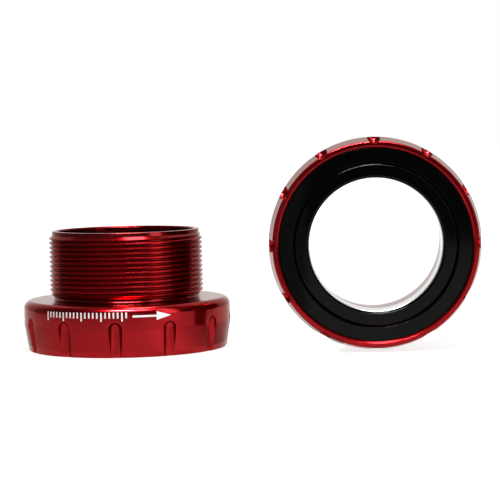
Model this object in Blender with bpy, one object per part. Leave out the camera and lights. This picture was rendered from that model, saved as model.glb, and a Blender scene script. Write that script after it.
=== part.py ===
"""Threaded bicycle bottom bracket: two flanged cups, each with its own sealed ball bearing.

One side is made in its own frame: its axis is local Z, local z = 0 is the cup's outboard face, and
+Z runs inboard along the threaded barrel. An empty for each side puts it in place. The left cup
stands on its outboard face. The right cup stands on its flange with its outboard face towards -Y.
All lengths below are in millimetres and become metres where a mesh is made.
"""

import math

import bmesh
import bpy
from mathutils import Matrix, Vector

MM = 0.001
SEGMENTS = 36
STEP = 2 * math.pi / SEGMENTS
SMOOTH_ANGLE = math.radians(35)

# Frame-shell interface: 1.37 in x 24 threads per inch.
THREAD_MAJOR_R = 17.4
THREAD_PITCH = 25.4 / 24
THREAD_DEPTH = 0.57
THREAD_HALF_TURNS = 24
THREAD_FOOT_Z = 12.15

# Barrel, from the neck at the shoulder to the rim.
CUP_LENGTH = 26.85
NECK_R = 16.5
NECK_FILLET_WIDTH = 1.1
NECK_FILLET_HEIGHT = 0.5
NECK_TOP_Z = 11.95
LEAD_R = 16.7
LEAD_Z = 25.95
RIM_CHAMFER_Z = 26.5
RIM_OUTER_R = 16.4
RIM_INNER_R = 15.75
BARREL_BORE_R = 15.5
BARREL_BORE_CHAMFER = 0.25

# Flange.
FLANGE_R = 23.4
SHOULDER_Z = 11.3
SHOULDER_FILLET = 1.8
TAPER_TOP_Z = 6.0
TAPER_FOOT_R = 22.5
FOOT_EDGE = 0.3
MOUTH_R = 21.5
POCKET_R = 21.05
POCKET_MOUTH_Z = 0.45

# Tool notches round the flange: upright grooves with a round floor and a ball-shaped end.
NOTCHES = 12
NOTCH_FLOOR_R = 21.95
NOTCH_RADIUS = 1.5
NOTCH_END_CENTRE_Z = 6.3
NOTCH_CUTTER_FOOT_Z = -1.0
NOTCH_SIDES = 12
NOTCH_END_RINGS = 3

# Bearing 29 x 42 x 7.
BEARING_BORE_R = 14.5
BEARING_OUTER_R = 21.0
BEARING_Z = 1.8
BEARING_WIDTH = 7.0
BALLS = 18
BALL_R = 3.175 / 2
BALL_PITCH_R = 18.0
OUTER_LAND_R = 19.0
INNER_LAND_R = 17.0
OUTER_GROOVE_R = 19.75
INNER_GROOVE_R = 16.33
GROOVE_HALF = 1.45
GROOVE_FLOOR_HALF = 0.62
SEAL_REBATE_R = 19.45
SEAL_REBATE_DEPTH = 0.8
SEAL_INNER_R = 17.2
SEAL_OUTER_R = 19.3
SEAL_INSET = 0.15
SEAL_THICKNESS = 0.5
SEAT_GAP = 0.05
SEAT_INNER_R = 19.6
WEB_RELIEF = 0.5

# Ball cage: a ring inboard of the balls with a finger between each pair.
CAGE_INNER_R = 17.25
CAGE_OUTER_R = 18.75
CAGE_RING_Z = 7.05
CAGE_RING_TOP_Z = 7.65
CAGE_FINGER_FOOT_Z = 4.6
CAGE_FINGER_HALF_ANGLE = math.radians(4.2)

# Fixed cover and the ring that turns with the crank spindle.
COVER_Z = 0.5
COVER_BACK_Z = 1.7
COVER_LIP_Z = 0.95
COVER_R = 20.95
COVER_BORE_R = 18.05
COVER_POCKET_R = 19.1
RING_Z = 0.2
RING_BORE_R = 14.6
RING_R = 17.85
RING_CHAMFER = 0.3
RING_LIP_R = 18.9
RING_LIP_Z = 1.1
RING_LIP_BACK_Z = 1.5
RING_FOOT_R = 17.2
RING_BACK_Z = 1.7

# How the two cups stand.
CUP_SPACING = 56.2
RIGHT_FACE_Y = -19.6
LEFT_NOTCH_PHASE = math.radians(-1.4)
RIGHT_NOTCH_PHASE = 0.0

RED_ANODISED = ("red_anodised_aluminium", (0.30, 0.006, 0.012, 1), 0.30, 0.9)
BLACK_ANODISED = ("black_anodised_aluminium", (0.012, 0.012, 0.013, 1), 0.35, 0.6)
BEARING_STEEL = ("bearing_steel", (0.56, 0.57, 0.58, 1), 0.18, 1.0)
CERAMIC = ("ball_ceramic", (0.045, 0.045, 0.05, 1), 0.12, 0.0)
CAGE_PLASTIC = ("cage_plastic", (0.62, 0.58, 0.48, 1), 0.5, 0.0)
SEAL_RUBBER = ("seal_rubber", (0.02, 0.02, 0.022, 1), 0.65, 0.0)


def clear_scene():
    for obj in list(bpy.data.objects):
        bpy.data.objects.remove(obj, do_unlink=True)


def material(look):
    name, colour, roughness, metallic = look
    found = bpy.data.materials.get(name)
    if found:
        return found
    made = bpy.data.materials.new(name)
    made.use_nodes = True
    shader = made.node_tree.nodes["Principled BSDF"]
    shader.inputs["Base Color"].default_value = colour
    shader.inputs["Roughness"].default_value = roughness
    shader.inputs["Metallic"].default_value = metallic
    made.diffuse_color = colour
    return made


def place(name, mesh, look, parent):
    """An object of this mesh under a side's empty, whose origin lies on the bearing's axis."""
    obj = bpy.data.objects.new(name, mesh)
    if not mesh.materials:
        mesh.materials.append(material(look))
    obj.parent = parent
    bpy.context.scene.collection.objects.link(obj)
    return obj


def mesh_from(bm, name):
    bmesh.ops.recalc_face_normals(bm, faces=bm.faces)
    mesh = bpy.data.meshes.new(name)
    bm.to_mesh(mesh)
    bm.free()
    mesh.shade_smooth()
    mesh.set_sharp_from_angle(angle=SMOOTH_ANGLE)
    return mesh


def turned_mesh(name, outline):
    """A ring: the closed outline of (radius, z) points turned about local Z."""
    bm = bmesh.new()
    points = [bm.verts.new((r * MM, 0, z * MM)) for r, z in outline]
    for here, after in zip(points, points[1:] + points[:1]):
        bm.edges.new((here, after))
    bmesh.ops.spin(
        bm,
        geom=bm.verts[:] + bm.edges[:],
        axis=(0, 0, 1),
        cent=(0, 0, 0),
        angle=2 * math.pi,
        steps=SEGMENTS,
        use_merge=True,
    )
    return mesh_from(bm, name)


def arc_points(centre, half_width, half_height, angles):
    """Points of an elliptic arc in the (radius, z) plane, at angles in degrees from the +radius direction."""
    centre_r, centre_z = centre
    return [
        (
            centre_r + half_width * math.cos(math.radians(a)),
            centre_z + half_height * math.sin(math.radians(a)),
        )
        for a in angles
    ]


def cup_inside_outline():
    """From the rim in through the barrel's bore, down to the bearing seat and out of the mouth."""
    seat_z = BEARING_Z + BEARING_WIDTH + SEAT_GAP
    return [
        (RIM_OUTER_R, CUP_LENGTH),
        (RIM_INNER_R, CUP_LENGTH),
        (BARREL_BORE_R, CUP_LENGTH - BARREL_BORE_CHAMFER),
        (BARREL_BORE_R, seat_z + WEB_RELIEF),
        (SEAT_INNER_R, seat_z + WEB_RELIEF),
        (SEAT_INNER_R, seat_z),
        (POCKET_R, seat_z),
        (POCKET_R, POCKET_MOUTH_Z),
        (MOUTH_R, 0),
    ]


def cup_outside_outline():
    """From the outboard face up the flange and over its shoulder to the top of the neck."""
    corner_centre = (FLANGE_R - SHOULDER_FILLET, SHOULDER_Z - SHOULDER_FILLET)
    neck_centre = (NECK_R + NECK_FILLET_WIDTH, SHOULDER_Z + NECK_FILLET_HEIGHT)
    foot = [
        (TAPER_FOOT_R - FOOT_EDGE, 0),
        (TAPER_FOOT_R, FOOT_EDGE),
        (FLANGE_R, TAPER_TOP_Z),
    ]
    corner = arc_points(
        corner_centre, SHOULDER_FILLET, SHOULDER_FILLET, (0, 30, 60, 90)
    )
    neck = arc_points(
        neck_centre, NECK_FILLET_WIDTH, NECK_FILLET_HEIGHT, (270, 225, 180)
    )
    return foot + corner + neck + [(NECK_R, NECK_TOP_Z)]


def thread_envelope(z):
    """The largest radius at this height: a 45 degree chamfer at each end of the thread."""
    return min(THREAD_MAJOR_R, NECK_R + z - NECK_TOP_Z, LEAD_R + LEAD_Z - z)


def thread_point(index, turn):
    """One point of the helix: even indices are roots, odd ones crests. turn runs from 0 to 1."""
    z = THREAD_FOOT_Z + THREAD_PITCH * (index / 2 + turn)
    cut = THREAD_MAJOR_R - (0 if index % 2 else THREAD_DEPTH)
    return min(cut, thread_envelope(z)), z


def cup_column(turn):
    """One closed outline of the cup at this share of a turn from where the thread starts."""
    thread = [thread_point(i, turn) for i in range(THREAD_HALF_TURNS + 1)]
    lead = [(LEAD_R, LEAD_Z), (LEAD_R, RIM_CHAMFER_Z)]
    return cup_outside_outline(), thread, lead + cup_inside_outline()


def cup_blank(name, hand):
    """The turned cup with its helical thread, before the notches. hand is 1 for a right-hand thread."""
    start = math.radians(-90 - 30)
    bm = bmesh.new()
    columns = []
    for i in range(SEGMENTS):
        angle = start + i * STEP
        aim = Vector((hand * math.cos(angle), math.sin(angle), 0))
        parts = cup_column(i / SEGMENTS)
        columns.append(
            [
                [bm.verts.new((aim * r + Vector((0, 0, z))) * MM) for r, z in part]
                for part in parts
            ]
        )
    for i, (foot, thread, top) in enumerate(columns):
        next_foot, next_thread, next_top = columns[(i + 1) % SEGMENTS]
        last = i == SEGMENTS - 1
        skip = 2 if last else 0
        near = foot + thread[: len(thread) - skip]
        far = next_foot + next_thread[skip:]
        if last:
            # One turn on, the helix meets its own start a pitch higher: a many-sided face at each end.
            near_start = thread[0]
            far_start = next_thread[: skip + 1]
            bm.faces.new([foot[-1], next_foot[-1], *far_start, near_start])
            bm.faces.new([*thread[-skip - 1 :], top[0], next_top[0], next_thread[-1]])
        else:
            bm.faces.new([foot[-1], next_foot[-1], next_thread[0], thread[0]])
            bm.faces.new([thread[-1], next_thread[-1], next_top[0], top[0]])
        joins = len(foot) - 1
        for j in range(len(near) - 1):
            if j != joins:
                bm.faces.new([near[j], far[j], far[j + 1], near[j + 1]])
        for j in range(len(top) - 1):
            bm.faces.new([top[j], next_top[j], next_top[j + 1], top[j + 1]])
        bm.faces.new([top[-1], next_top[-1], next_foot[0], foot[0]])
    bmesh.ops.triangulate(bm, faces=[face for face in bm.faces if len(face.verts) > 4])
    return mesh_from(bm, name)


def notch_rings():
    """The cutter's rings as (radius, z): a straight foot, then a half ball without its tip."""
    turns = [math.pi / 2 * k / NOTCH_END_RINGS for k in range(NOTCH_END_RINGS)]
    ball = [
        (NOTCH_RADIUS * math.cos(t), NOTCH_END_CENTRE_Z + NOTCH_RADIUS * math.sin(t))
        for t in turns
    ]
    return [(NOTCH_RADIUS, NOTCH_CUTTER_FOOT_Z), *ball]


def notch_cutter(name, parent, phase):
    """All the notches' cutters: upright round-ended rods, phase measured from local -Y."""
    bm = bmesh.new()
    axis_r = NOTCH_FLOOR_R + NOTCH_RADIUS
    turns = [2 * math.pi * (j + 0.5) / NOTCH_SIDES for j in range(NOTCH_SIDES)]
    tip_z = NOTCH_END_CENTRE_Z + NOTCH_RADIUS
    for k in range(NOTCHES):
        turn = Matrix.Rotation(phase + 2 * math.pi * k / NOTCHES, 3, "Z")
        rings = [
            [
                bm.verts.new(turn @ Vector((r * math.sin(t), r * math.cos(t) - axis_r, z)) * MM)
                for t in turns
            ]
            for r, z in notch_rings()
        ]
        tip = bm.verts.new(turn @ Vector((0, -axis_r, tip_z)) * MM)
        bm.faces.new(rings[0])
        for j in range(NOTCH_SIDES):
            after = (j + 1) % NOTCH_SIDES
            for low, high in zip(rings, rings[1:]):
                bm.faces.new([low[j], low[after], high[after], high[j]])
            bm.faces.new([rings[-1][j], rings[-1][after], tip])
    cutter = bpy.data.objects.new(name, mesh_from(bm, name))
    cutter.parent = parent
    cutter.hide_render = True
    cutter.display_type = "WIRE"
    bpy.context.scene.collection.objects.link(cutter)
    return cutter


def make_cup(side, parent, hand, phase):
    cup = place(f"{side}_cup", cup_blank(f"{side}_cup", hand), RED_ANODISED, parent)
    cut = cup.modifiers.new("tool_notches", "BOOLEAN")
    cut.operation = "DIFFERENCE"
    cut.object = notch_cutter(f"{side}_notch_cutter", parent, phase)


def outer_race_outline():
    z0 = BEARING_Z
    z1 = BEARING_Z + BEARING_WIDTH
    mid = (z0 + z1) / 2
    return [
        (BEARING_OUTER_R, z0),
        (BEARING_OUTER_R, z1),
        (SEAL_REBATE_R, z1),
        (SEAL_REBATE_R, z1 - SEAL_REBATE_DEPTH),
        (OUTER_LAND_R, z1 - SEAL_REBATE_DEPTH),
        (OUTER_LAND_R, mid + GROOVE_HALF),
        (OUTER_GROOVE_R, mid + GROOVE_FLOOR_HALF),
        (OUTER_GROOVE_R, mid - GROOVE_FLOOR_HALF),
        (OUTER_LAND_R, mid - GROOVE_HALF),
        (OUTER_LAND_R, z0 + SEAL_REBATE_DEPTH),
        (SEAL_REBATE_R, z0 + SEAL_REBATE_DEPTH),
        (SEAL_REBATE_R, z0),
    ]


def inner_race_outline():
    z0 = BEARING_Z
    z1 = BEARING_Z + BEARING_WIDTH
    mid = (z0 + z1) / 2
    return [
        (BEARING_BORE_R, z0),
        (INNER_LAND_R, z0),
        (INNER_LAND_R, mid - GROOVE_HALF),
        (INNER_GROOVE_R, mid - GROOVE_FLOOR_HALF),
        (INNER_GROOVE_R, mid + GROOVE_FLOOR_HALF),
        (INNER_LAND_R, mid + GROOVE_HALF),
        (INNER_LAND_R, z1),
        (BEARING_BORE_R, z1),
    ]


def seal_outline(foot_z):
    return [
        (SEAL_INNER_R, foot_z),
        (SEAL_OUTER_R, foot_z),
        (SEAL_OUTER_R, foot_z + SEAL_THICKNESS),
        (SEAL_INNER_R, foot_z + SEAL_THICKNESS),
    ]


def cover_outline():
    return [
        (COVER_BORE_R, COVER_Z),
        (COVER_R, COVER_Z),
        (COVER_R, COVER_BACK_Z),
        (COVER_POCKET_R, COVER_BACK_Z),
        (COVER_POCKET_R, COVER_LIP_Z),
        (COVER_BORE_R, COVER_LIP_Z),
    ]


def spindle_ring_outline():
    return [
        (RING_BORE_R, RING_Z + RING_CHAMFER),
        (RING_BORE_R + RING_CHAMFER, RING_Z),
        (RING_R - RING_CHAMFER, RING_Z),
        (RING_R, RING_Z + RING_CHAMFER),
        (RING_R, RING_LIP_Z),
        (RING_LIP_R, RING_LIP_Z),
        (RING_LIP_R, RING_LIP_BACK_Z),
        (RING_FOOT_R, RING_BACK_Z),
        (RING_BORE_R, RING_BACK_Z),
    ]


def cage_mesh(name):
    """A ring of unequal segments, narrow ones at the fingers, with the fingers extruded outboard."""
    bm = bmesh.new()
    spacing = 2 * math.pi / BALLS
    angles = []
    for k in range(BALLS):
        middle = (k + 0.5) * spacing
        angles += [middle - CAGE_FINGER_HALF_ANGLE, middle + CAGE_FINGER_HALF_ANGLE]
    corners = (
        (CAGE_INNER_R, CAGE_RING_Z),
        (CAGE_OUTER_R, CAGE_RING_Z),
        (CAGE_OUTER_R, CAGE_RING_TOP_Z),
        (CAGE_INNER_R, CAGE_RING_TOP_Z),
    )
    rows = [
        [
            bm.verts.new((r * math.cos(a) * MM, r * math.sin(a) * MM, z * MM))
            for r, z in corners
        ]
        for a in angles
    ]
    finger_roots = []
    for i, row in enumerate(rows):
        after = rows[(i + 1) % len(rows)]
        sides = [
            bm.faces.new([row[j], after[j], after[(j + 1) % 4], row[(j + 1) % 4]])
            for j in range(4)
        ]
        if i % 2 == 0:
            finger_roots.append(sides[0])
    made = bmesh.ops.extrude_discrete_faces(bm, faces=finger_roots)
    drop = Vector((0, 0, (CAGE_FINGER_FOOT_Z - CAGE_RING_Z) * MM))
    tips = {vert for face in made["faces"] for vert in face.verts}
    bmesh.ops.translate(bm, verts=list(tips), vec=drop)
    return mesh_from(bm, name)


def ball_mesh():
    bm = bmesh.new()
    bmesh.ops.create_icosphere(bm, subdivisions=2, radius=BALL_R * MM)
    mesh = mesh_from(bm, "ball")
    mesh.set_sharp_from_angle(angle=math.pi)
    return mesh


def make_bearing(side, parent, ball):
    rings = (
        ("bearing_outer_race", outer_race_outline(), BEARING_STEEL),
        ("bearing_inner_race", inner_race_outline(), BEARING_STEEL),
        ("outboard_seal", seal_outline(BEARING_Z + SEAL_INSET), SEAL_RUBBER),
        (
            "inboard_seal",
            seal_outline(BEARING_Z + BEARING_WIDTH - SEAL_INSET - SEAL_THICKNESS),
            SEAL_RUBBER,
        ),
    )
    for piece, outline, look in rings:
        name = f"{side}_{piece}"
        place(name, turned_mesh(name, outline), look, parent)
    place(f"{side}_ball_cage", cage_mesh(f"{side}_ball_cage"), CAGE_PLASTIC, parent)
    for k in range(BALLS):
        angle = 2 * math.pi * k / BALLS
        one = place(f"{side}_ball_{k + 1:02d}", ball, CERAMIC, parent)
        reach = BALL_PITCH_R * MM
        middle = (BEARING_Z + BEARING_WIDTH / 2) * MM
        one.location = (reach * math.cos(angle), reach * math.sin(angle), middle)


def make_covers(side, parent):
    for piece, outline in (
        ("bearing_cover", cover_outline()),
        ("spindle_ring", spindle_ring_outline()),
    ):
        name = f"{side}_{piece}"
        place(name, turned_mesh(name, outline), BLACK_ANODISED, parent)


def side_empty(name, location, rotation):
    empty = bpy.data.objects.new(name, None)
    empty.location = Vector(location) * MM
    empty.rotation_euler = rotation
    bpy.context.scene.collection.objects.link(empty)
    return empty


def make_side(side, parent, hand, phase, ball):
    make_cup(side, parent, hand, phase)
    make_bearing(side, parent, ball)
    make_covers(side, parent)


def main():
    clear_scene()
    half = CUP_SPACING / 2
    left = side_empty("left_axis", (-half, 0, 0), (0, 0, 0))
    right = side_empty(
        "right_axis", (half, RIGHT_FACE_Y, FLANGE_R), (math.radians(-90), 0, 0)
    )
    ball = ball_mesh()
    make_side("left", left, 1, LEFT_NOTCH_PHASE, ball)
    make_side("right", right, -1, RIGHT_NOTCH_PHASE, ball)


main()
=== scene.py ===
"""Looks of a threaded bicycle bottom bracket: two anodised cups, each with its own ball bearing.

Every piece is made in its side's own frame, in millimetres: the axis is local Z, local z = 0 is
the cup's outboard face, and +Z runs inboard along the threaded barrel. The side's matrix, which
comes from the frame's boxes, puts it in the shared frame, in metres. An azimuth is measured from
local -Y towards +X.
"""

import math

import bmesh
import bpy
import numpy as np
from mathutils import Matrix, Vector


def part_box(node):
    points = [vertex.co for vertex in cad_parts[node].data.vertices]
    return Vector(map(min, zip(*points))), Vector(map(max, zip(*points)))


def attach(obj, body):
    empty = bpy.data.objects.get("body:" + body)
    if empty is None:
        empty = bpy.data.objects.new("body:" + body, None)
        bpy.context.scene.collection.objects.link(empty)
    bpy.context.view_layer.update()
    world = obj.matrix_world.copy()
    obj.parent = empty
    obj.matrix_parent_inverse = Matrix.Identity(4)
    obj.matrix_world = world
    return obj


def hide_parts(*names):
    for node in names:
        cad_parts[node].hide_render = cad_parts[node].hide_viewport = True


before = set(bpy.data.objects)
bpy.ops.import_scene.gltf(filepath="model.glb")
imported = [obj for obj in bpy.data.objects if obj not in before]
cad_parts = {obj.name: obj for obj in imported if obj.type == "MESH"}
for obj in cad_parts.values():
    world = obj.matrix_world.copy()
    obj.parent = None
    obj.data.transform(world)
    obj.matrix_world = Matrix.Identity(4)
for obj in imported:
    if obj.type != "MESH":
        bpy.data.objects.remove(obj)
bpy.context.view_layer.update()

MM = 0.001
SIDES = ("left", "right")
CUP_COLUMNS = 360
RING_COLUMNS = 240

# Points closer than this, in metres, are one point. Edges steeper than this angle are sharp.
WELD = 1e-6
SHARP_ANGLE = math.radians(40)

# How far a softened corner reaches along its sides, and at most which share of a side it takes.
EDGE_SOFTENING = 0.08
CORNER_SHARE = 0.4

# Thread: 1.37 in x 24 threads per inch, 60 degree V with small flats. The turns run past both
# ends, where they are cut off. A point of the profile is a share of a pitch and of the depth.
THREAD_MAJOR_R = 17.4
THREAD_PITCH = 25.4 / 24
THREAD_DEPTH = 0.57
THREAD_FOOT_Z = 12.15
THREAD_START = math.radians(-30)
THREAD_TURNS = range(-2, 15)
THREAD_PROFILE = (
    (0.0, 0.0),
    (0.034, 0.0),
    (0.05, 0.025),
    (0.351, 0.975),
    (0.367, 1.0),
    (0.5, 1.0),
    (0.633, 1.0),
    (0.649, 0.975),
    (0.95, 0.025),
    (0.966, 0.0),
)

# Barrel.
CUP_LENGTH = 26.85
NECK_R = 16.5
NECK_FILLET_WIDTH = 0.64
NECK_FILLET_HEIGHT = 0.6
NECK_TOP_Z = 11.95
LEAD_R = 16.7
LEAD_Z = 25.95
RIM_CHAMFER_Z = 26.75
RIM_OUTER_R = 16.6
RIM_INNER_R = 15.75
BARREL_BORE_R = 15.5
BARREL_BORE_CHAMFER = 0.25

# Flange.
FLANGE_R = 23.4
SHOULDER_Z = 11.3
SHOULDER_FILLET = 1.8
TAPER_TOP_Z = 6.0
TAPER_FOOT_R = 22.5
FOOT_EDGE = 0.3
FOOT_EDGE_STEPS = 4
FACE_INNER_R = 21.6
MOUTH_R = 21.5
POCKET_R = 21.05
POCKET_MOUTH_Z = 0.45

# Tool notches: upright grooves with a round floor and a ball-shaped end.
NOTCHES = 12
NOTCH_PHASE = {"left": math.radians(-1.4), "right": 0.0}
NOTCH_FLOOR_R = 21.95
NOTCH_RADIUS = 1.5
NOTCH_END_Z = 6.3
NOTCH_SIDE_HEIGHTS = (1, 2, 3, 4, 5, 5.8, TAPER_TOP_Z, NOTCH_END_Z)
NOTCH_LIP = 0.16
NOTCH_GROOVE_STEPS = 9
NOTCH_GROOVE_END = 0.97
NOTCH_RISE_STEPS = 6
NOTCH_TOP_STEPS = 30
NOTCH_BLENDS = 8
EDGE_GUESS = math.radians(80)
EDGE_ROUNDS = 30
SECTOR_TOP_Z = SHOULDER_Z - SHOULDER_FILLET

# Bearing 29 x 42 x 7.
BEARING_BORE_R = 14.5
BEARING_OUTER_R = 21.0
BEARING_Z = 1.8
BEARING_WIDTH = 7.0
BEARING_MIDDLE_Z = BEARING_Z + BEARING_WIDTH / 2
BALLS = 18
BALL_R = 3.175 / 2
BALL_PITCH_R = 18.0
OUTER_LAND_R = 19.0
INNER_LAND_R = 17.0
GROOVE_R = 1.75
GROOVE_STEPS = 12
INNER_RACE_SOFTENING = 0.2
SEAL_REBATE_R = 19.45
SEAL_REBATE_DEPTH = 0.8
SEAL_INNER_R = 17.2
SEAL_OUTER_R = 19.3
SEAL_INSET = 0.15
SEAL_THICKNESS = 0.5
SEAL_RIM = 0.5
SEAL_LIP_WIDTH = 0.25
SEAL_LIP_DROP = 0.12
SEAL_CHANNEL_SLOPE = 0.12
SEAL_CHANNEL_DEPTH = 0.14
SEAL_SOFTENING = 0.06
SEAT_GAP = 0.05
SEAT_INNER_R = 19.6
WEB_RELIEF = 0.5

# Ball cage.
CAGE_INNER_R = 17.25
CAGE_OUTER_R = 18.75
CAGE_RING_Z = 7.05
CAGE_RING_TOP_Z = 7.65
CAGE_FINGER_FOOT_Z = 4.6
CAGE_FINGER_ROUND = 0.5
CAGE_FINGER_HALF_ANGLE = math.radians(4.2)
CAGE_ROUND_STEPS = 5
CAGE_FINGER_STEPS = 6
CAGE_GAP_STEPS = 8

# Fixed cover and the ring that turns with the spindle.
COVER_Z = 0.5
COVER_BACK_Z = 1.7
COVER_LIP_Z = 0.95
COVER_R = 20.95
COVER_BORE_R = 18.05
COVER_POCKET_R = 19.1
RING_Z = 0.2
RING_BORE_R = 14.6
RING_R = 17.85
RING_CHAMFER = 0.42
RING_STEP_CHAMFER = 0.5
RING_LIP_R = 18.9
RING_LIP_Z = 1.1
RING_LIP_BACK_Z = 1.5
RING_FOOT_R = 17.2
RING_BACK_Z = 1.7

# Printed scale on the left flange: upright marks, and an arrow that ends at PRINT_END.
PRINT_LIFT = 0.02
PRINT_ROWS = 6
PRINT_START = math.radians(-43)
PRINT_END = math.radians(29)
MARKS = 22
MARK_PITCH = math.radians(2.25)
MARK_WIDTH = math.radians(0.85)
MARK_STEPS = 2
MARK_TOP_Z = 10.0
MARK_FOOT_Z = 8.75
LONG_MARK_FOOT_Z = 8.1
LONG_MARK_EVERY = 5
ARROW_Z = 9.1
ARROW_STEPS = 8
SHAFT_LENGTH = math.radians(13)
SHAFT_HALF_HEIGHT = 0.22
HEAD_LENGTH = math.radians(8)
HEAD_HALF_HEIGHT = 0.95
HEAD_TIP_SHARE = 0.04

# Finishes. The radii between which the painted shade in the thread's roots fades out are in metres.
RED_LOW = (0.25, 0.0008, 0.0030)
RED_HIGH = (0.28, 0.0014, 0.0042)
RED_EDGE_TINT = (0.55, 0.38, 0.32)
OXIDE_WEIGHT = 0.6
OXIDE_IOR = 1.27
OXIDE_ROUGHNESS = 0.12
# Painted shade: the share of the red left in the thread's roots, on the neck and in the bore.
PAINTED_ROOT_SHADE = 0.6
PAINTED_ROOT_SHADE_RADII = (0.01672, 0.0173)
BLACK_LOW = (0.0003, 0.0003, 0.0003)
BLACK_HIGH = (0.0006, 0.0006, 0.0006)

# Studio, in metres, and in degrees of azimuth or of rise above the floor. A level is an azimuth
# and how bright the card is there.
SURROUND_RADIUS = 0.41
DOME_COLUMNS = 90
DOME_ROWS = 12
WALL_LEVELS = (
    (-180, 1.0),
    (-145, 0.9),
    (-128, 0.6),
    (-113, 0.5),
    (-105, 0.15),
    (-60, 0.1),
    (-20, 0.1),
    (30, 0.12),
    (66, 0.08),
    (100, 0.05),
    (113, 0.5),
    (130, 0.5),
    (145, 0.85),
    (180, 1.0),
)
WALL_TOP = 45
ROOF_SPAN = (-118, 112)
ROOF_TOP = 88
ROOF_LEVEL = 0.2
STRIP_RADIUS = 0.97 * SURROUND_RADIUS
STRIP_SPAN = (40, 59)
STRIP_TOP = 60
STRIP_LEVEL = 3.6

# The graded card over the floor round the left cup: its inner radius, and its outer radius at
# some azimuths.
FLOOR_CARD_INNER = 0.0245
FLOOR_CARD_OUTER = ((-140, 0.062), (50, 0.062), (72, 0.05), (150, 0.05))
FLOOR_CARD_Z = 0.0004
FLOOR_CARD_COLUMNS = 100
FLOOR_CARD_LEVELS = (
    (-180, 0.9),
    (-90, 0.8),
    (-79, 0.73),
    (-61, 0.92),
    (-42, 0.91),
    (-24, 1.04),
    (1, 1.15),
    (17, 1.24),
    (25, 1.53),
    (31, 1.6),
    (43, 1.38),
    (53, 0.93),
    (63, 0.71),
    (76, 0.48),
    (90, 0.6),
    (101, 0.8),
    (180, 1.0),
)

# The floor. Its glow grows from the first strength at the first distance to the second.
FLOOR_RADIUS = 3.0
FLOOR_GLOW = (0.62, 0.88)
FLOOR_GLOW_REACH = (0.1, 0.5)

# The low flag round the near side of the left cup.
FLAG_RADIUS = 0.12
FLAG_SPAN = (-110, 20)
FLAG_COLUMNS = 60
FLAG_TOP = 0.045
FLAG_LEVELS = ((-180, 0.25), (-60, 0.22), (-35, 0.3), (-8, 0.45), (180, 0.45))

# A card's radial gradient counts from its own +X, so a card is built this many degrees ahead
# and turned back, which brings its +X to azimuth 0.
CARD_TURN = 90

# Camera: its place in metres, its turn from +Y towards +X, its tilt downwards and its roll
# clockwise. Lens and sensor are in millimetres.
CAMERA_PLACE = (0.01333, -0.4384, 0.04907)
CAMERA_YAW = math.radians(-1.72)
CAMERA_PITCH = math.radians(3.586)
CAMERA_ROLL = math.radians(1.181)
CAMERA_LENS = 139.2
CAMERA_SENSOR = 36.0


# ---------------------------------------------------------------- placing pieces


def side_matrix(side):
    """The side's own frame: its origin lies on the axis, in the plane of the outboard face."""
    low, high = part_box(f"{side}_cup")
    middle = (low + high) / 2
    if side == "left":
        return Matrix.Translation((middle.x, middle.y, low.z))
    level = Matrix.Rotation(math.radians(-90), 4, "X")
    return Matrix.Translation((middle.x, low.y, middle.z)) @ level


def add_piece(name, mesh, look, place, body, node):
    """A piece that moves with its body, has its finish in a slot and may replace a CAD node."""
    piece = bpy.data.objects.new(name, mesh)
    bpy.context.scene.collection.objects.link(piece)
    piece.matrix_world = place
    if not mesh.materials:
        mesh.materials.append(look)
    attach(piece, body)
    if node:
        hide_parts(node)
    return piece


def weight_normals(piece):
    """Flat faces keep flat shading next to small rounded edges."""
    smooth = piece.modifiers.new("flat_faces", "WEIGHTED_NORMAL")
    smooth.keep_sharp = True


# ---------------------------------------------------------------- mesh tools


class Shell:
    """A surface gathered from grids of points that meet at their borders."""

    def __init__(self):
        self.points = []
        self.faces = []
        self.count = 0

    def grid(self, points):
        """Adds a grid of points whose neighbours are joined in squares."""
        points = np.asarray(points, float)
        columns, rows = points.shape[:2]
        index = self.count + np.arange(columns * rows).reshape(columns, rows)
        corners = (index[:-1, :-1], index[1:, :-1], index[1:, 1:], index[:-1, 1:])
        self.faces.append(np.stack(corners, -1).reshape(-1, 4))
        self.points.append(points.reshape(-1, 3))
        self.count += columns * rows

    def mesh(self, name):
        """The points, in millimetres, as a mesh that is welded where its grids meet."""
        mesh = bpy.data.meshes.new(name)
        points = np.concatenate(self.points) * MM
        mesh.from_pydata(points.tolist(), [], np.concatenate(self.faces).tolist())
        bm = bmesh.new()
        bm.from_mesh(mesh)
        bmesh.ops.remove_doubles(bm, verts=bm.verts, dist=WELD)
        bmesh.ops.recalc_face_normals(bm, faces=bm.faces)
        bm.to_mesh(mesh)
        bm.free()
        mesh.shade_smooth()
        mesh.set_sharp_from_angle(angle=SHARP_ANGLE)
        return mesh


def curve_point(start, corner, end, share):
    """A point of the curve from start to end that is tangent to both sides of the corner."""
    return (1 - share) ** 2 * start + 2 * share * (1 - share) * corner + share**2 * end


def softened(outline, reach=EDGE_SOFTENING, steps=3, closed=True):
    """The outline of (radius, z) points with each corner turned into a small curve."""
    points = [Vector(p) for p in outline]
    before = points[-1:] + points[:-1]
    after = points[1:] + points[:1]
    soft = []
    for i, (back, corner, on) in enumerate(zip(before, points, after)):
        if not closed and i in (0, len(points) - 1):
            soft.append(corner)
            continue
        shorter = min((back - corner).length, (on - corner).length)
        near = min(reach, CORNER_SHARE * shorter)
        start = corner + (back - corner).normalized() * near
        end = corner + (on - corner).normalized() * near
        soft += [curve_point(start, corner, end, k / steps) for k in range(steps + 1)]
    return [tuple(p) for p in soft]


def arc_points(centre, half_width, half_height, start, end, steps):
    """Points of an elliptic arc in the (radius, z) plane, its angles in degrees from +radius."""
    angles = np.radians(np.linspace(start, end, steps + 1))
    centre_r, centre_z = centre
    return [
        (centre_r + half_width * math.cos(a), centre_z + half_height * math.sin(a))
        for a in angles
    ]


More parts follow.
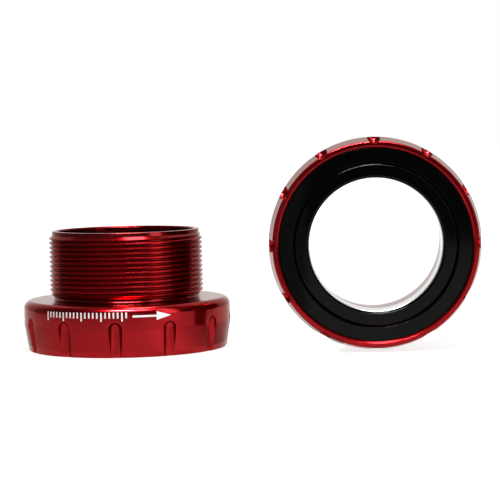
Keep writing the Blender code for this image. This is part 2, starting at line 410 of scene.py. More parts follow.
def around(radius, azimuth, z):
    """Points at a radius, an azimuth and a height, as one array."""
    radius, azimuth, z = np.broadcast_arrays(radius, azimuth, z)
    return np.stack((radius * np.sin(azimuth), -radius * np.cos(azimuth), z), -1)


def turned(outline, columns, phase=0.0):
    """The grid of an outline turned once round the axis, its first column at the phase."""
    outline = np.asarray(outline, float)
    azimuth = phase + np.linspace(0, 2 * math.pi, columns + 1)[:, None]
    azimuth[-1] = azimuth[0]
    return around(outline[None, :, 0], azimuth, outline[None, :, 1])


def ring_mesh(name, outline):
    """A closed outline of (radius, z) points turned once round the axis."""
    shell = Shell()
    closed = list(outline) + [outline[0]]
    shell.grid(turned(closed, RING_COLUMNS))
    return shell.mesh(name)


# ---------------------------------------------------------------- the cups


def foot_rows():
    """Heights and radii of the small round edge at the foot of the flange."""
    turn = np.radians(np.linspace(0, 90, FOOT_EDGE_STEPS + 1))
    return FOOT_EDGE * (1 - np.cos(turn)), TAPER_FOOT_R - FOOT_EDGE * (1 - np.sin(turn))


def flange_radius(z):
    """The flange's outside: a round foot edge, a taper and an upright band."""
    foot_z, foot_r = foot_rows()
    return np.interp(z, np.append(foot_z, TAPER_TOP_Z), np.append(foot_r, FLANGE_R))


def notch_path():
    """A notch's outline from its foot, over its round end and down again.

    Returns how far across, how far up and from which height each of its points moves as the
    outline widens.
    """
    side = np.concatenate((foot_rows()[0], NOTCH_SIDE_HEIGHTS))
    steps = 2 * NOTCH_RISE_STEPS + NOTCH_TOP_STEPS
    turn = np.linspace(0, math.pi, steps + 1)[1:-1]
    across = np.concatenate((np.ones(len(side)), np.cos(turn), -np.ones(len(side))))
    up = np.concatenate((np.zeros(len(side)), np.sin(turn), np.zeros(len(side))))
    start = np.concatenate((side, np.full(len(turn), NOTCH_END_Z), side[::-1]))
    return across, up, start


def sector_border(start):
    """The azimuth and height of the sector's border, point for point with the notch's outline."""
    half = math.pi / NOTCHES
    rise = np.linspace(NOTCH_END_Z, SECTOR_TOP_Z, NOTCH_RISE_STEPS + 1)[1:]
    top = np.linspace(half, -half, NOTCH_TOP_STEPS + 1)[1:-1]
    sides = np.count_nonzero(start < NOTCH_END_Z) // 2 + 1
    height = np.concatenate(
        (start[:sides], rise, np.full(len(top), SECTOR_TOP_Z), rise[::-1], start[-sides:])
    )
    azimuth = np.concatenate(
        (np.full(sides + len(rise), half), top, np.full(sides + len(rise), -half))
    )
    return azimuth, height


def groove_point(turn, across, up, start):
    """A point of the round groove: turn is 0 on its floor line and grows up its side."""
    half = NOTCH_RADIUS * np.sin(turn)
    out = NOTCH_FLOOR_R + NOTCH_RADIUS * (1 - np.cos(turn))
    return half * across, out, start + half * up


def edge_turns(across, up, start):
    """The turn at which the groove meets the flange's outside, found by substitution."""
    edge = np.full(len(across), EDGE_GUESS)
    for _ in range(EDGE_ROUNDS):
        x, _, z = groove_point(edge, across, up, start)
        out = np.sqrt(flange_radius(z) ** 2 - x**2)
        edge = np.arccos(1 - (out - NOTCH_FLOOR_R) / NOTCH_RADIUS)
    return edge


def notch_levels():
    """Rows of (sideways, outwards, z) points from the notch's floor line to its sector's border."""
    across, up, start = notch_path()
    edge = edge_turns(across, up, start)
    levels = []
    for step in range(NOTCH_GROOVE_STEPS + 1):
        share = min(step / NOTCH_GROOVE_STEPS, NOTCH_GROOVE_END)
        levels.append(np.stack(groove_point(edge * share, across, up, start)))
    # The groove's rows stop just short of its edge, and the lip starts just past it.
    x, _, z = groove_point(edge, across, up, start)
    x = x + NOTCH_LIP * across
    z = z + NOTCH_LIP * up
    lip = np.arcsin(x / flange_radius(z))
    border, height = sector_border(start)
    for blend in range(NOTCH_BLENDS + 1):
        share = blend / NOTCH_BLENDS
        azimuth = lip + (border - lip) * share
        level = z + (height - z) * share
        radius = flange_radius(level)
        levels.append(np.stack((radius * np.sin(azimuth), radius * np.cos(azimuth), level)))
    return np.array(levels).transpose(0, 2, 1)


def turned_about_axis(points, angle):
    """(sideways, outwards, z) points turned to an azimuth."""
    x, out, z = points[..., 0], points[..., 1], points[..., 2]
    cos, sin = math.cos(angle), math.sin(angle)
    return np.stack((x * cos + out * sin, x * sin - out * cos, z), -1)


def add_flange(shell, phase):
    """The notched outside of the flange and the flat face at its foot."""
    levels = notch_levels()
    foot = np.concatenate((levels[::-1, 0], levels[1:, -1]))
    half = math.pi / NOTCHES
    azimuth = np.linspace(half, -half, len(foot))
    mouth = np.stack(
        (FACE_INNER_R * np.sin(azimuth), FACE_INNER_R * np.cos(azimuth), 0 * azimuth), -1
    )
    face = np.stack((foot, mouth), 1)
    for k in range(NOTCHES):
        angle = phase + 2 * math.pi * k / NOTCHES
        shell.grid(turned_about_axis(levels, angle))
        shell.grid(turned_about_axis(face, angle))


def shoulder_outline():
    """From the top of the flange's upright band, over the shoulder, to the top of the neck."""
    corner = arc_points(
        (FLANGE_R - SHOULDER_FILLET, SECTOR_TOP_Z),
        SHOULDER_FILLET,
        SHOULDER_FILLET,
        start=0,
        end=90,
        steps=12,
    )
    neck = arc_points(
        (NECK_R + NECK_FILLET_WIDTH, SHOULDER_Z + NECK_FILLET_HEIGHT),
        NECK_FILLET_WIDTH,
        NECK_FILLET_HEIGHT,
        start=270,
        end=180,
        steps=8,
    )
    return corner + neck + [(NECK_R, NECK_TOP_Z)]


def inside_outline():
    """From the lead-in over the rim, through the bore, to the bearing seat and out of the mouth."""
    seat_z = BEARING_Z + BEARING_WIDTH + SEAT_GAP
    corners = [
        (LEAD_R, LEAD_Z),
        (LEAD_R, RIM_CHAMFER_Z),
        (RIM_OUTER_R, CUP_LENGTH),
        (RIM_INNER_R, CUP_LENGTH),
        (BARREL_BORE_R, CUP_LENGTH - BARREL_BORE_CHAMFER),
        (BARREL_BORE_R, seat_z + WEB_RELIEF),
        (SEAT_INNER_R, seat_z + WEB_RELIEF),
        (SEAT_INNER_R, seat_z),
        (POCKET_R, seat_z),
        (POCKET_R, POCKET_MOUTH_Z),
        (MOUTH_R, 0),
        (FACE_INNER_R, 0),
    ]
    return softened(corners, closed=False)


def thread_grid(hand, phase):
    """The helix: each column starts a little higher, and after one turn it meets its next crest."""
    turn = np.linspace(0, 1, CUP_COLUMNS + 1)[:, None]
    profile = [(k + along, height) for k in THREAD_TURNS for along, height in THREAD_PROFILE]
    along, height = np.array(profile).T
    z = THREAD_FOOT_Z + THREAD_PITCH * (along[None, :] + turn)
    z = np.clip(z, NECK_TOP_Z, LEAD_Z)
    cut = THREAD_MAJOR_R - THREAD_DEPTH * (1 - height[None, :])
    start_chamfer = NECK_R + z - NECK_TOP_Z
    lead_chamfer = LEAD_R + LEAD_Z - z
    radius = np.minimum(cut, np.minimum(start_chamfer, lead_chamfer))
    azimuth = phase + hand * (THREAD_START + 2 * math.pi * turn)
    azimuth[-1] = azimuth[0]
    return around(radius, azimuth, z)


def cup_mesh(name, side):
    """A cup from flange to rim. The left one has a right-hand thread, the right one a left-hand."""
    hand = 1 if side == "left" else -1
    phase = NOTCH_PHASE[side]
    shell = Shell()
    add_flange(shell, phase)
    shell.grid(turned(shoulder_outline(), CUP_COLUMNS, phase))
    shell.grid(thread_grid(hand, phase))
    shell.grid(turned(inside_outline(), CUP_COLUMNS, phase))
    return shell.mesh(name)


# ---------------------------------------------------------------- the bearings


def groove_points(land_r, centre_side):
    """The round ball groove in a race's land, from its inboard edge to its outboard edge."""
    offset = centre_side * (BALL_PITCH_R - land_r)
    reach = math.asin(math.sqrt(1 - (offset / GROOVE_R) ** 2))
    turns = np.linspace(reach, -reach, GROOVE_STEPS + 1)
    return [
        (
            BALL_PITCH_R - centre_side * GROOVE_R * math.cos(t),
            BEARING_MIDDLE_Z + GROOVE_R * math.sin(t),
        )
        for t in turns
    ]


def outer_race_outline():
    z0 = BEARING_Z
    z1 = BEARING_Z + BEARING_WIDTH
    top = softened(
        [
            (BEARING_OUTER_R, BEARING_MIDDLE_Z),
            (BEARING_OUTER_R, z1),
            (SEAL_REBATE_R, z1),
            (SEAL_REBATE_R, z1 - SEAL_REBATE_DEPTH),
            (OUTER_LAND_R, z1 - SEAL_REBATE_DEPTH),
        ],
        closed=False,
    )
    bottom = [(r, z0 + z1 - z) for r, z in reversed(top)]
    return top + groove_points(OUTER_LAND_R, -1) + bottom[:-1]


def inner_race_outline():
    z0 = BEARING_Z
    z1 = BEARING_Z + BEARING_WIDTH
    top = softened(
        [
            (BEARING_BORE_R, BEARING_MIDDLE_Z),
            (BEARING_BORE_R, z1),
            (INNER_LAND_R, z1),
            (INNER_LAND_R, z1 - SEAL_REBATE_DEPTH),
        ],
        reach=INNER_RACE_SOFTENING,
        closed=False,
    )
    bottom = [(r, z0 + z1 - z) for r, z in reversed(top)]
    return top + groove_points(INNER_LAND_R, 1) + bottom[:-1]


def seal_outline(outer_face_z, inboard):
    """A seal seen in section: a flat washer with a shallow channel between its two rims."""
    depth = -1 if inboard else 1
    steps = [
        (SEAL_INNER_R, SEAL_LIP_DROP),
        (SEAL_INNER_R + SEAL_LIP_WIDTH, 0.0),
        (SEAL_INNER_R + SEAL_RIM, 0.0),
        (SEAL_INNER_R + SEAL_RIM + SEAL_CHANNEL_SLOPE, SEAL_CHANNEL_DEPTH),
        (SEAL_OUTER_R - SEAL_RIM, SEAL_CHANNEL_DEPTH),
        (SEAL_OUTER_R - SEAL_RIM + SEAL_CHANNEL_SLOPE, 0.0),
        (SEAL_OUTER_R, 0.0),
        (SEAL_OUTER_R, SEAL_THICKNESS),
        (SEAL_INNER_R, SEAL_THICKNESS),
    ]
    return softened([(r, outer_face_z + depth * z) for r, z in steps], reach=SEAL_SOFTENING)


def finger_width(z):
    """The share of a cage finger's full width at a height: its foot is round."""
    foot = np.clip((z - CAGE_FINGER_FOOT_Z) / CAGE_FINGER_ROUND, 0, 1)
    return np.sqrt(1 - (1 - foot) ** 2)


def cage_mesh(name):
    """A ring inboard of the balls with a round-ended finger between each pair."""
    spacing = 2 * math.pi / BALLS
    shell = Shell()
    rise = np.linspace(0, CAGE_FINGER_ROUND, CAGE_ROUND_STEPS + 1)
    heights = np.append(CAGE_FINGER_FOOT_Z + rise, CAGE_RING_Z)
    half = CAGE_FINGER_HALF_ANGLE * finger_width(heights)
    across = np.linspace(-1, 1, CAGE_FINGER_STEPS + 1)
    gap_span = (CAGE_FINGER_HALF_ANGLE, spacing - CAGE_FINGER_HALF_ANGLE)
    gap = np.linspace(*gap_span, CAGE_GAP_STEPS + 1)
    for k in range(BALLS):
        middle = (k + 0.5) * spacing
        finger = middle + across[:, None] * half[None, :]
        for radius in (CAGE_INNER_R, CAGE_OUTER_R):
            shell.grid(around(radius, finger, heights[None, :]))
        for edge in (finger[0], finger[-1]):
            rims = [around(r, edge, heights) for r in (CAGE_INNER_R, CAGE_OUTER_R)]
            shell.grid(np.stack(rims, 1))
        span = np.concatenate((middle + CAGE_FINGER_HALF_ANGLE * across, middle + gap[1:]))
        under = (CAGE_INNER_R, CAGE_OUTER_R)
        shell.grid(around(np.array(under)[None, :], (middle + gap)[:, None], CAGE_RING_Z))
        over = [
            (CAGE_INNER_R, CAGE_RING_Z),
            (CAGE_INNER_R, CAGE_RING_TOP_Z),
            (CAGE_OUTER_R, CAGE_RING_TOP_Z),
            (CAGE_OUTER_R, CAGE_RING_Z),
        ]
        radius, z = np.array(over).T
        shell.grid(around(radius[None, :], span[:, None], z[None, :]))
    return shell.mesh(name)


def ball_mesh(name):
    bm = bmesh.new()
    bmesh.ops.create_uvsphere(bm, u_segments=48, v_segments=24, radius=BALL_R * MM)
    mesh = bpy.data.meshes.new(name)
    bm.to_mesh(mesh)
    bm.free()
    mesh.shade_smooth()
    return mesh


def cover_outline():
    return softened(
        [
            (COVER_BORE_R, COVER_Z),
            (COVER_R, COVER_Z),
            (COVER_R, COVER_BACK_Z),
            (COVER_POCKET_R, COVER_BACK_Z),
            (COVER_POCKET_R, COVER_LIP_Z),
            (COVER_BORE_R, COVER_LIP_Z),
        ]
    )


def spindle_ring_outline():
    return softened(
        [
            (RING_BORE_R, RING_Z + RING_CHAMFER),
            (RING_BORE_R + RING_CHAMFER, RING_Z),
            (RING_R - RING_STEP_CHAMFER, RING_Z),
            (RING_R, RING_Z + RING_STEP_CHAMFER),
            (RING_R, RING_LIP_Z),
            (RING_LIP_R, RING_LIP_Z),
            (RING_LIP_R, RING_LIP_BACK_Z),
            (RING_FOOT_R, RING_BACK_Z),
            (RING_BORE_R, RING_BACK_Z),
        ]
    )


# ---------------------------------------------------------------- the printed scale


def flange_skin_radius(z):
    """The flange's radius on its upright band and on the round edge of its shoulder."""
    rise = np.clip(z - SECTOR_TOP_Z, 0, SHOULDER_FILLET)
    return FLANGE_R - SHOULDER_FILLET + np.sqrt(SHOULDER_FILLET**2 - rise**2)


def add_print_patch(shell, columns):
    """A thin closed patch of ink on the flange. Each column is an azimuth, a low and a high z."""
    azimuth, low, high = np.array(columns, float).T
    share = np.linspace(0, 1, PRINT_ROWS + 1)[None, :]
    z = low[:, None] + (high - low)[:, None] * share
    skin = flange_skin_radius(z)
    outer = around(skin + PRINT_LIFT, azimuth[:, None], z)
    inner = around(skin - PRINT_LIFT, azimuth[:, None], z)
    shell.grid(outer)
    shell.grid(inner)
    shell.grid(np.stack((outer[0], inner[0])))
    shell.grid(np.stack((outer[-1], inner[-1])))
    shell.grid(np.stack((outer[:, 0], inner[:, 0]), 1))
    shell.grid(np.stack((outer[:, -1], inner[:, -1]), 1))


def add_arrow(shell):
    """A short shaft and a head that narrows towards PRINT_END."""
    neck = PRINT_END - HEAD_LENGTH
    shaft = np.linspace(neck - SHAFT_LENGTH, neck, ARROW_STEPS + 1)
    low, high = ARROW_Z - SHAFT_HALF_HEIGHT, ARROW_Z + SHAFT_HALF_HEIGHT
    add_print_patch(shell, [(a, low, high) for a in shaft])
    head = np.linspace(neck, PRINT_END, ARROW_STEPS + 1)
    halves = HEAD_HALF_HEIGHT * np.linspace(1, HEAD_TIP_SHARE, ARROW_STEPS + 1)
    add_print_patch(shell, [(a, ARROW_Z - h, ARROW_Z + h) for a, h in zip(head, halves)])


def print_mesh(name):
    """An arrow beside a plain graduated scale, as is printed on cups to show their tight way."""
    shell = Shell()
    add_arrow(shell)
    for k in range(MARKS):
        foot = MARK_FOOT_Z if k % LONG_MARK_EVERY else LONG_MARK_FOOT_Z
        start = PRINT_START + k * MARK_PITCH
        mark = np.linspace(start, start + MARK_WIDTH, MARK_STEPS + 1)
        add_print_patch(shell, [(a, foot, MARK_TOP_Z) for a in mark])
    return shell.mesh(name)


# ---------------------------------------------------------------- materials


def new_material(name, colour, roughness, metallic=0.0, specular=0.5):
    made = bpy.data.materials.new(name)
    made.use_nodes = True
    shader = made.node_tree.nodes["Principled BSDF"]
    shader.inputs["Base Color"].default_value = (*colour, 1)
    shader.inputs["Roughness"].default_value = roughness
    shader.inputs["Metallic"].default_value = metallic
    shader.inputs["Specular IOR Level"].default_value = specular
    return made, made.node_tree, shader


def add_node(tree, kind, **settings):
    node = tree.nodes.new(kind)
    for key, value in settings.items():
        setattr(node, key, value)
    return node


def noise(tree, vector, scale, detail=3.0):
    """A noise node's value, about 0.5 on average. Its scale is in blotches a metre."""
    node = add_node(tree, "ShaderNodeTexNoise")
    node.inputs["Scale"].default_value = scale
    node.inputs["Detail"].default_value = detail
    tree.links.new(vector, node.inputs["Vector"])
    return node.outputs["Fac"]


def spread(tree, value, low, high, from_low=0.3, from_high=0.7):
    """Maps a value's usual range onto low to high."""
    node = add_node(tree, "ShaderNodeMapRange")
    node.inputs["From Min"].default_value = from_low
    node.inputs["From Max"].default_value = from_high
    node.inputs["To Min"].default_value = low
    node.inputs["To Max"].default_value = high
    tree.links.new(value, node.inputs["Value"])
    return node.outputs["Result"]


def object_point(tree):
    return add_node(tree, "ShaderNodeTexCoord").outputs["Object"]


def lathe_point(tree, point):
    """(radius, z, 0) of a point about the axis: noise read there runs in rings, like tool marks."""
    apart = add_node(tree, "ShaderNodeSeparateXYZ")
    flat = add_node(tree, "ShaderNodeCombineXYZ")
    length = add_node(tree, "ShaderNodeVectorMath", operation="LENGTH")
    joined = add_node(tree, "ShaderNodeCombineXYZ")
    tree.links.new(point, apart.inputs[0])
    tree.links.new(apart.outputs["X"], flat.inputs["X"])
    tree.links.new(apart.outputs["Y"], flat.inputs["Y"])
    tree.links.new(flat.outputs[0], length.inputs[0])
    tree.links.new(length.outputs["Value"], joined.inputs["X"])
    tree.links.new(apart.outputs["Z"], joined.inputs["Y"])
    return joined.outputs[0]


def blend_colours(tree, factor, low, high):
    """The Mix node has sockets for every kind of data: 6, 7 and output 2 are those for colours."""
    node = add_node(tree, "ShaderNodeMix", data_type="RGBA")
    node.inputs[6].default_value = (*low, 1)
    node.inputs[7].default_value = (*high, 1)
    tree.links.new(factor, node.inputs[0])
    return node.outputs[2]


def bumps(tree, shader, layers):
    """Bump layers in a chain. Each is a height value, its strength and its depth in metres."""
    normal = None
    for height, strength, depth in layers:
        node = add_node(tree, "ShaderNodeBump")
        node.inputs["Strength"].default_value = strength
        node.inputs["Distance"].default_value = depth
        tree.links.new(height, node.inputs["Height"])
        if normal:
            tree.links.new(normal, node.inputs["Normal"])
        normal = node.outputs["Normal"]
    tree.links.new(normal, shader.inputs["Normal"])


def anodised(name, low, high, roughness, specular, metallic, relief):
    """Dyed anodising over fine turning marks: a slow drift of colour, satin patches and bumps."""
    made, tree, shader = new_material(name, low, roughness, metallic, specular)
    point = object_point(tree)
    rings = lathe_point(tree, point)
    drift = spread(tree, noise(tree, point, scale=90), 0, 1)
    tree.links.new(blend_colours(tree, drift, low, high), shader.inputs["Base Color"])
    satin = spread(tree, noise(tree, rings, scale=900), roughness - 0.03, roughness + 0.04)
    tree.links.new(satin, shader.inputs["Roughness"])
    marks = noise(tree, rings, scale=4200, detail=2)
    blast = noise(tree, point, scale=9000, detail=1)
    bumps(tree, shader, ((marks, 0.12 * relief, 2e-5), (blast, 0.05 * relief, 1e-5)))
    return made


def paint_root_shade(tree, shader):
    """Painted shade: the colour darkens in the thread's roots, on the neck and in the bore."""
    apart = add_node(tree, "ShaderNodeSeparateXYZ")
    scaled = add_node(tree, "ShaderNodeVectorMath", operation="SCALE")
    tree.links.new(lathe_point(tree, object_point(tree)), apart.inputs[0])
    tree.links.new(shader.inputs["Base Color"].links[0].from_socket, scaled.inputs[0])
    share = spread(tree, apart.outputs["X"], PAINTED_ROOT_SHADE, 1.0, *PAINTED_ROOT_SHADE_RADII)
    tree.links.new(share, scaled.inputs["Scale"])
    tree.links.new(scaled.outputs["Vector"], shader.inputs["Base Color"])


def red_anodised():
    """Red anodising on bright metal, dimmed at grazing angles, under a clear colourless oxide."""
    made = anodised(
        "red_anodised",
        RED_LOW,
        RED_HIGH,
        roughness=0.2,
        specular=0.5,
        metallic=1.0,
        relief=0.5,
    )
    shader = made.node_tree.nodes["Principled BSDF"]
    shader.inputs["Specular Tint"].default_value = (*RED_EDGE_TINT, 1)
    shader.inputs["Coat Weight"].default_value = OXIDE_WEIGHT
    shader.inputs["Coat IOR"].default_value = OXIDE_IOR
    shader.inputs["Coat Roughness"].default_value = OXIDE_ROUGHNESS
    # Painted shade in the roots of the thread, on the neck and in the bore.
    paint_root_shade(made.node_tree, shader)
    return made


def black_anodised():
    """Glossy black anodising, with fainter turning marks than the red."""
    return anodised(
        "black_anodised",
        BLACK_LOW,
        BLACK_HIGH,
        roughness=0.07,
        specular=0.105,
        metallic=0.0,
        relief=0.2,
    )


def polished_steel():
    grey = (0.62, 0.62, 0.61)
    made, tree, shader = new_material("bearing_steel", grey, roughness=0.16, metallic=1.0)
    point = object_point(tree)
    rings = lathe_point(tree, point)
    shade = spread(tree, noise(tree, rings, scale=700), 0, 1)
    colour = blend_colours(tree, shade, (0.56, 0.56, 0.56), (0.68, 0.68, 0.67))
    tree.links.new(colour, shader.inputs["Base Color"])
    rough = spread(tree, noise(tree, rings, scale=2600), 0.12, 0.24)
    tree.links.new(rough, shader.inputs["Roughness"])
    bumps(tree, shader, ((noise(tree, rings, scale=6000, detail=2), 0.1, 1e-5),))
    return made


def silicon_nitride():
    made, tree, shader = new_material("silicon_nitride", (0.035, 0.035, 0.04), roughness=0.1)
    point = object_point(tree)
    mottle = spread(tree, noise(tree, point, scale=1800), 0, 1)
    colour = blend_colours(tree, mottle, (0.028, 0.028, 0.032), (0.05, 0.05, 0.055))
    tree.links.new(colour, shader.inputs["Base Color"])
    rough = spread(tree, noise(tree, point, scale=2400), 0.07, 0.14)
    tree.links.new(rough, shader.inputs["Roughness"])
    bumps(tree, shader, ((noise(tree, point, scale=6000), 0.02, 1e-5),))
    return made


def moulded(name, low, high, roughness, grain):
    """A plastic, a rubber or an ink: faint mottling and a fine grain."""
    made, tree, shader = new_material(name, low, roughness)
    point = object_point(tree)
    mottle = spread(tree, noise(tree, point, scale=400), 0, 1)
    tree.links.new(blend_colours(tree, mottle, low, high), shader.inputs["Base Color"])
    rough = spread(tree, noise(tree, point, scale=1500), roughness - 0.06, roughness + 0.06)
    tree.links.new(rough, shader.inputs["Roughness"])
    bumps(tree, shader, ((noise(tree, point, scale=grain), 0.15, 2e-5),))
    return made


def pale_floor():
    """A matt table that glows like a light table, more so away from the object."""
    grey = (0.35, 0.35, 0.35)
    made, tree, shader = new_material("floor", grey, roughness=0.7, specular=0.2)
    point = object_point(tree)
    cloud = spread(tree, noise(tree, point, scale=3), 0, 1)
    colour = blend_colours(tree, cloud, (0.345, 0.345, 0.343), (0.355, 0.355, 0.353))
    tree.links.new(colour, shader.inputs["Base Color"])
    bumps(tree, shader, ((noise(tree, point, scale=900), 0.05, 2e-5),))
    shader.inputs["Emission Color"].default_value = (1, 1, 1, 1)
    away = add_node(tree, "ShaderNodeVectorMath", operation="LENGTH")
    tree.links.new(point, away.inputs[0])
    glow = spread(tree, away.outputs["Value"], *FLOOR_GLOW, *FLOOR_GLOW_REACH)
    tree.links.new(glow, shader.inputs["Emission Strength"])
    return made


def make_materials():
    """Each finish under its slot's name. A moulded one has two colours, a roughness and a grain."""
    looks = {
        "red_anodised": red_anodised(),
        "black_anodised": black_anodised(),
        "bearing_steel": polished_steel(),
        "ceramic": silicon_nitride(),
    }
    moulded_looks = (
        ("cage_plastic", (0.60, 0.56, 0.45), (0.66, 0.62, 0.52), 0.45, 3000),
        ("white_print", (0.70, 0.70, 0.70), (0.76, 0.76, 0.76), 0.5, 5000),
        ("seal_rubber", (0.012, 0.012, 0.013), (0.02, 0.02, 0.021), 0.6, 4000),
    )
    for name, low, high, roughness, grain in moulded_looks:
        looks[name] = moulded(name, low, high, roughness, grain)
    return looks


# ---------------------------------------------------------------- one side


def make_turned_pieces(side, place, looks):
    """The cup and the rings of one side, each on the body that it belongs to."""
    fixed = f"{side}_fixed"
    rotor = f"{side}_rotor"
    inboard_z = BEARING_Z + BEARING_WIDTH - SEAL_INSET
    pieces = (
        ("bearing_cover", cover_outline(), "black_anodised", fixed),
        ("spindle_ring", spindle_ring_outline(), "black_anodised", rotor),
        ("bearing_outer_race", outer_race_outline(), "bearing_steel", fixed),
        ("bearing_inner_race", inner_race_outline(), "bearing_steel", rotor),
        ("outboard_seal", seal_outline(BEARING_Z + SEAL_INSET, False), "seal_rubber", fixed),
        ("inboard_seal", seal_outline(inboard_z, True), "seal_rubber", fixed),
    )
    for part, outline, slot, body in pieces:
        name = f"{side}_{part}"
        mesh = ring_mesh(f"{name}_fine", outline)
        piece = add_piece(f"{name}_fine", mesh, looks[slot], place, body, name)
        weight_normals(piece)
    name = f"{side}_cup"
    mesh = cup_mesh(f"{name}_fine", side)
    look = looks["red_anodised"]
    cup = add_piece(f"{name}_fine", mesh, look, place, fixed, name)
    weight_normals(cup)


def make_balls(side, place, looks, ball):
    """The cage and its balls, which go round together."""
    body = f"{side}_ball_set"
    name = f"{side}_ball_cage"
    mesh = cage_mesh(f"{name}_fine")
    look = looks["cage_plastic"]
    cage = add_piece(f"{name}_fine", mesh, look, place, body, name)
    weight_normals(cage)
    for k in range(1, BALLS + 1):
        name = f"{side}_ball_{k:02d}"
        low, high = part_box(name)
        spot = Matrix.Translation((low + high) / 2)
        add_piece(f"{name}_fine", ball, looks["ceramic"], spot, body, name)


def make_print(place, looks):
    mesh = print_mesh("left_flange_scale")
    look = looks["white_print"]
    add_piece("left_flange_scale", mesh, look, place, "left_fixed", None)


def make_object():
    looks = make_materials()
    ball = ball_mesh("ball_fine")
    for side in SIDES:
        place = side_matrix(side)
        make_turned_pieces(side, place, looks)
        make_balls(side, place, looks, ball)
    make_print(side_matrix("left"), looks)


# ---------------------------------------------------------------- studio


def make_floor():
    bm = bmesh.new()
    bmesh.ops.create_circle(bm, cap_ends=True, segments=96, radius=FLOOR_RADIUS)
    mesh = bpy.data.meshes.new("floor")
    bm.to_mesh(mesh)
    bm.free()
    mesh.materials.append(pale_floor())
    floor = bpy.data.objects.new("floor", mesh)
    bpy.context.scene.collection.objects.link(floor)


def make_world():
    world = bpy.data.worlds.new("white_studio")
    bpy.context.scene.world = world
    world.use_nodes = True
    background = world.node_tree.nodes["Background"]
    background.inputs["Color"].default_value = (1, 1, 1, 1)
    background.inputs["Strength"].default_value = 1.0


def grey_ramp(tree, value, stops):
    """A colour ramp through grey levels. Each stop is a place from 0 to 1 and its level."""
    ramp = add_node(tree, "ShaderNodeValToRGB")
    elements = ramp.color_ramp.elements
    elements.remove(elements[-1])
    for k, (place, level) in enumerate(stops):
        element = elements[0] if k == 0 else elements.new(place)
        element.position = place
        element.color = (level, level, level, 1)
    tree.links.new(value, ramp.inputs["Fac"])
    return ramp.outputs["Color"]


def glowing(name, level):
    """An even glow: its material, its node tree and its emission node."""
    made = bpy.data.materials.new(name)
    made.use_nodes = True
    tree = made.node_tree
    tree.nodes.clear()
    glow = add_node(tree, "ShaderNodeEmission")
    glow.inputs["Strength"].default_value = level
    out = add_node(tree, "ShaderNodeOutputMaterial")
    tree.links.new(glow.outputs["Emission"], out.inputs["Surface"])
    return made, tree, glow


def glowing_round(name, levels):
    """A glow that depends on the azimuth. Each level is an azimuth and a brightness."""
    made, tree, glow = glowing(name, 1.0)
    way = add_node(tree, "ShaderNodeTexGradient", gradient_type="RADIAL")
    tree.links.new(object_point(tree), way.inputs["Vector"])
    stops = [(0.5 + degrees / 360, level) for degrees, level in levels]
    tree.links.new(grey_ramp(tree, way.outputs["Fac"], stops), glow.inputs["Color"])
    return made


def add_unseen(name, look, radius, degrees, z):
    """A card of the studio, in metres. It lights and is mirrored, but the camera looks through it.

    Its radius and z give a row of points at each of its azimuths, in degrees.
    """
    shell = Shell()
    shell.grid(around(radius, np.radians(degrees + CARD_TURN)[:, None], z))
    mesh = bpy.data.meshes.new(name)
    points = np.concatenate(shell.points)
    mesh.from_pydata(points.tolist(), [], np.concatenate(shell.faces).tolist())
    mesh.materials.append(look)
    card = bpy.data.objects.new(name, mesh)
    card.rotation_euler = (0, 0, math.radians(-CARD_TURN))
    bpy.context.scene.collection.objects.link(card)
    card.visible_camera = False
    return card


def add_dome(name, look, span, rise, radius):
    """Part of a dome, between two azimuths and two angles of rise."""
    degrees = np.linspace(*span, DOME_COLUMNS)
    rise = np.radians(np.linspace(*rise, DOME_ROWS))[None, :]
    add_unseen(name, look, radius * np.cos(rise), degrees, radius * np.sin(rise))


def put_round_left_cup(card):
    low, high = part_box("left_cup")
    card.location = ((low.x + high.x) / 2, (low.y + high.y) / 2, 0)


def add_flag():
    """A low card that keeps the bright far floor out of the left barrel."""
    look = glowing_round("flag", FLAG_LEVELS)
    degrees = np.linspace(*FLAG_SPAN, FLAG_COLUMNS)
    flag = add_unseen("flag", look, FLAG_RADIUS, degrees, np.array([[0.0, FLAG_TOP]]))
    put_round_left_cup(flag)


def add_floor_card():
    """Light graded round the left cup, just over the floor, as a glossy table would mirror it."""
    look = glowing_round("floor_card", FLOOR_CARD_LEVELS)
    given, reach = np.array(FLOOR_CARD_OUTER).T
    degrees = np.linspace(given[0], given[-1], FLOOR_CARD_COLUMNS)
    outer = np.interp(degrees, given, reach)
    radius = np.stack((np.full(FLOOR_CARD_COLUMNS, FLOOR_CARD_INNER), outer), axis=1)
    card = add_unseen("floor_card", look, radius, degrees, np.full((1, 2), FLOOR_CARD_Z))
    card.visible_shadow = False
    put_round_left_cup(card)


def make_surround():
    """A wall round the table, dim in front, a dim roof over its front, and a tall bright strip."""
    roof = glowing("studio_roof", ROOF_LEVEL)[0]
    strip = glowing("strip_light", STRIP_LEVEL)[0]
    wall = glowing_round("studio_wall", WALL_LEVELS)
    add_dome("studio_wall", wall, (-180, 180), (0, WALL_TOP), SURROUND_RADIUS)
    add_dome("studio_roof", roof, ROOF_SPAN, (WALL_TOP, ROOF_TOP), SURROUND_RADIUS)
    add_dome("strip_light", strip, STRIP_SPAN, (0, STRIP_TOP), STRIP_RADIUS)
    add_flag()
    add_floor_card()


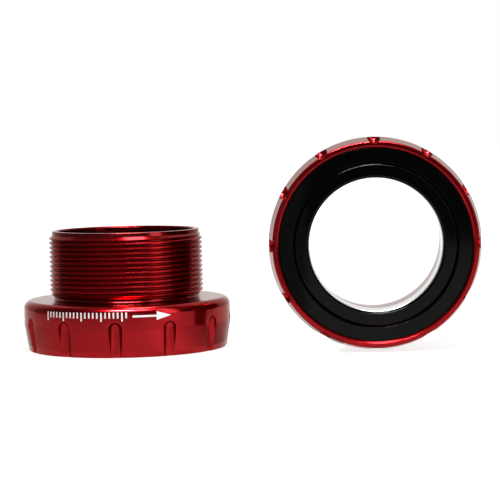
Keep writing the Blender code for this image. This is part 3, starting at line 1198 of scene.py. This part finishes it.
def make_softbox(name, place, aim, size, energy, mirrored=True):
    """A softbox, in metres and watts. It shows as a highlight, or else fills in without shadows."""
    light = bpy.data.lights.new(name, "AREA")
    light.shape = "RECTANGLE"
    light.size, light.size_y = size
    light.energy = energy
    lamp = bpy.data.objects.new(name, light)
    lamp.location = place
    away = Vector(place) - Vector(aim)
    lamp.rotation_euler = away.to_track_quat("Z", "Y").to_euler()
    lamp.visible_camera = False
    light.use_shadow = mirrored
    lamp.visible_diffuse = not mirrored
    lamp.visible_glossy = mirrored
    bpy.context.scene.collection.objects.link(lamp)


def make_lights():
    """Three softboxes that show in the metal, and one that only fills in."""
    left_cup = (-0.03, 0, 0.01)
    under = (0.01, -0.02, 0)
    middle = (0, 0, 0)
    make_softbox("key_softbox", (-0.03, -0.2305, 0.312), left_cup, (0.13, 0.06), 3.1)
    make_softbox("wide_softbox", (-0.02, -0.222, 0.319), left_cup, (0.27, 0.07), 2.5)
    make_softbox("overhead_softbox", (0.02, -0.02, 0.38), under, (0.14, 0.1), 0.7)
    make_softbox("fill_softbox", (0, -0.16, 0.33), middle, (0.3, 0.12), 1.25, mirrored=False)


def make_camera():
    yaw, pitch, roll = CAMERA_YAW, CAMERA_PITCH, CAMERA_ROLL
    ahead = Vector((math.sin(yaw), math.cos(yaw), 0))
    across = Vector((math.cos(yaw), -math.sin(yaw), 0))
    forward = ahead * math.cos(pitch) - Vector((0, 0, math.sin(pitch)))
    upward = ahead * math.sin(pitch) + Vector((0, 0, math.cos(pitch)))
    right = across * math.cos(roll) - upward * math.sin(roll)
    up = across * math.sin(roll) + upward * math.cos(roll)
    data = bpy.data.cameras.new("camera")
    data.lens = CAMERA_LENS
    data.sensor_width = CAMERA_SENSOR
    data.clip_start = 0.01
    camera = bpy.data.objects.new("camera", data)
    rotation = Matrix((right, up, -forward)).transposed()
    camera.matrix_world = Matrix.Translation(CAMERA_PLACE) @ rotation.to_4x4()
    bpy.context.scene.collection.objects.link(camera)
    bpy.context.scene.camera = camera


def make_studio():
    make_floor()
    make_world()
    make_surround()
    make_lights()
    make_camera()
    bpy.context.scene.view_settings.view_transform = "Standard"


make_object()
make_studio()
